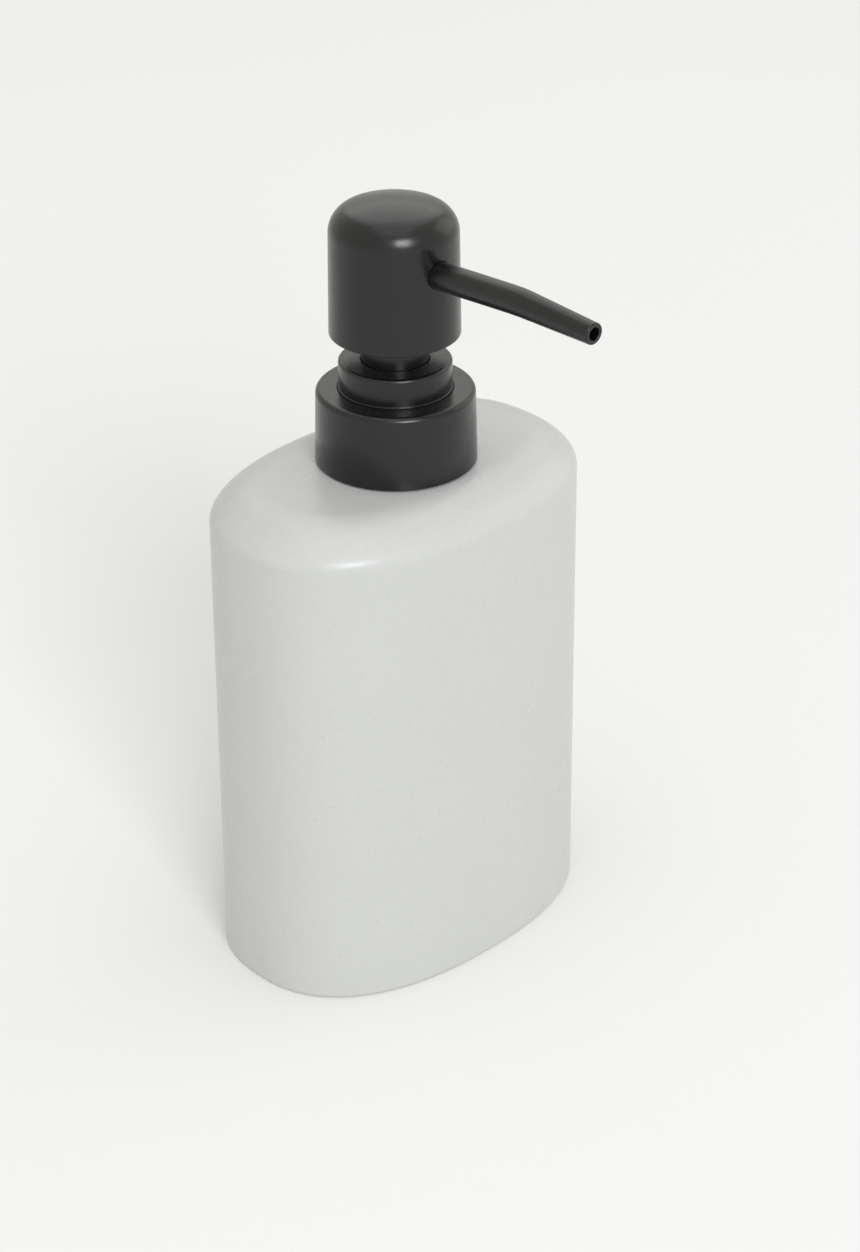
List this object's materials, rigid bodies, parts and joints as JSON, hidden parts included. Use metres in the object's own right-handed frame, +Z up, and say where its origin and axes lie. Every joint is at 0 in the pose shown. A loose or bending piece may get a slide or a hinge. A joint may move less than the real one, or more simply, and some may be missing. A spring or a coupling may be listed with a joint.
{
  "type": "soap pump dispenser",
  "caption": "Countertop soap dispenser: a rounded glazed ceramic bottle with a screw-on lotion pump, press-down cup head and slim angled spout.",
  "frame": {"origin": "centre of the bottle's flat base, on the surface that it stands on", "axes": "+Z up along the pump's axis; X along the bottle's longer side; at rest the spout points along -Y"},
  "size_m": [0.0874, 0.0845, 0.1689],
  "materials": {
    "glazed_ceramic": "satin pale-grey glaze with a fine mottle",
    "black_plastic": "satin black moulded plastic",
    "natural_plastic": "unpigmented polypropylene",
    "clear_tube": "translucent polyethylene tube",
    "soft_seal": "soft white polyethylene",
    "spring_steel": "drawn stainless wire",
    "valve_steel": "polished stainless ball"
  },
  "bodies": {
    "bottle": {"ceramic_bottle": "glazed_ceramic", "neck_insert": "natural_plastic"},
    "pump": {"neck_gasket": "soft_seal", "pump_cylinder": "natural_plastic", "lock_sleeve": "black_plastic", "step_ring": "black_plastic", "ball_cage": "natural_plastic", "dip_tube": "clear_tube"},
    "collar": {"screw_cap": "black_plastic", "collar_cover": "black_plastic"},
    "inlet_ball": {"inlet_ball": "valve_steel"},
    "spring": {"return_spring": "spring_steel"},
    "plunger": {"stem": "natural_plastic", "piston_rod": "natural_plastic", "head_core": "black_plastic", "head_shell": "black_plastic", "spout": "black_plastic"},
    "piston": {"piston": "soft_seal"}
  },
  "joints": [
    {"name": "pump_rise", "type": "slide", "parent": "bottle", "child": "pump", "axis": [0, 0, 1], "range_m": [0, 0.0045]},
    {"name": "collar_unscrew", "type": "hinge", "parent": "pump", "child": "collar", "pos_m": [0, 0, 0.12], "axis": [0, 0, 1], "range_deg": [0, 540.5]},
    {"name": "inlet_ball_lift", "type": "slide", "parent": "pump", "child": "inlet_ball", "axis": [0, 0, 1], "range_m": [0, 0.0011]},
    {"name": "head_swivel", "type": "hinge", "parent": "pump", "child": "spring", "pos_m": [0, 0, 0.09], "axis": [0, 0, 1], "continuous": true},
    {"name": "head_press", "type": "slide", "parent": "spring", "child": "plunger", "axis": [0, 0, -1], "range_m": [0, 0.011], "stiffness_N_per_m": 700, "springref_m": -0.01, "deforming": ["return_spring"]},
    {"name": "piston_slip", "type": "slide", "parent": "plunger", "child": "piston", "axis": [0, 0, 1], "range_m": [0, 0.0012]}
  ],
  "couplings": [
    {"joint": "collar_unscrew", "follows": "pump_rise", "rad_per_m": 2094.4}
  ]
}
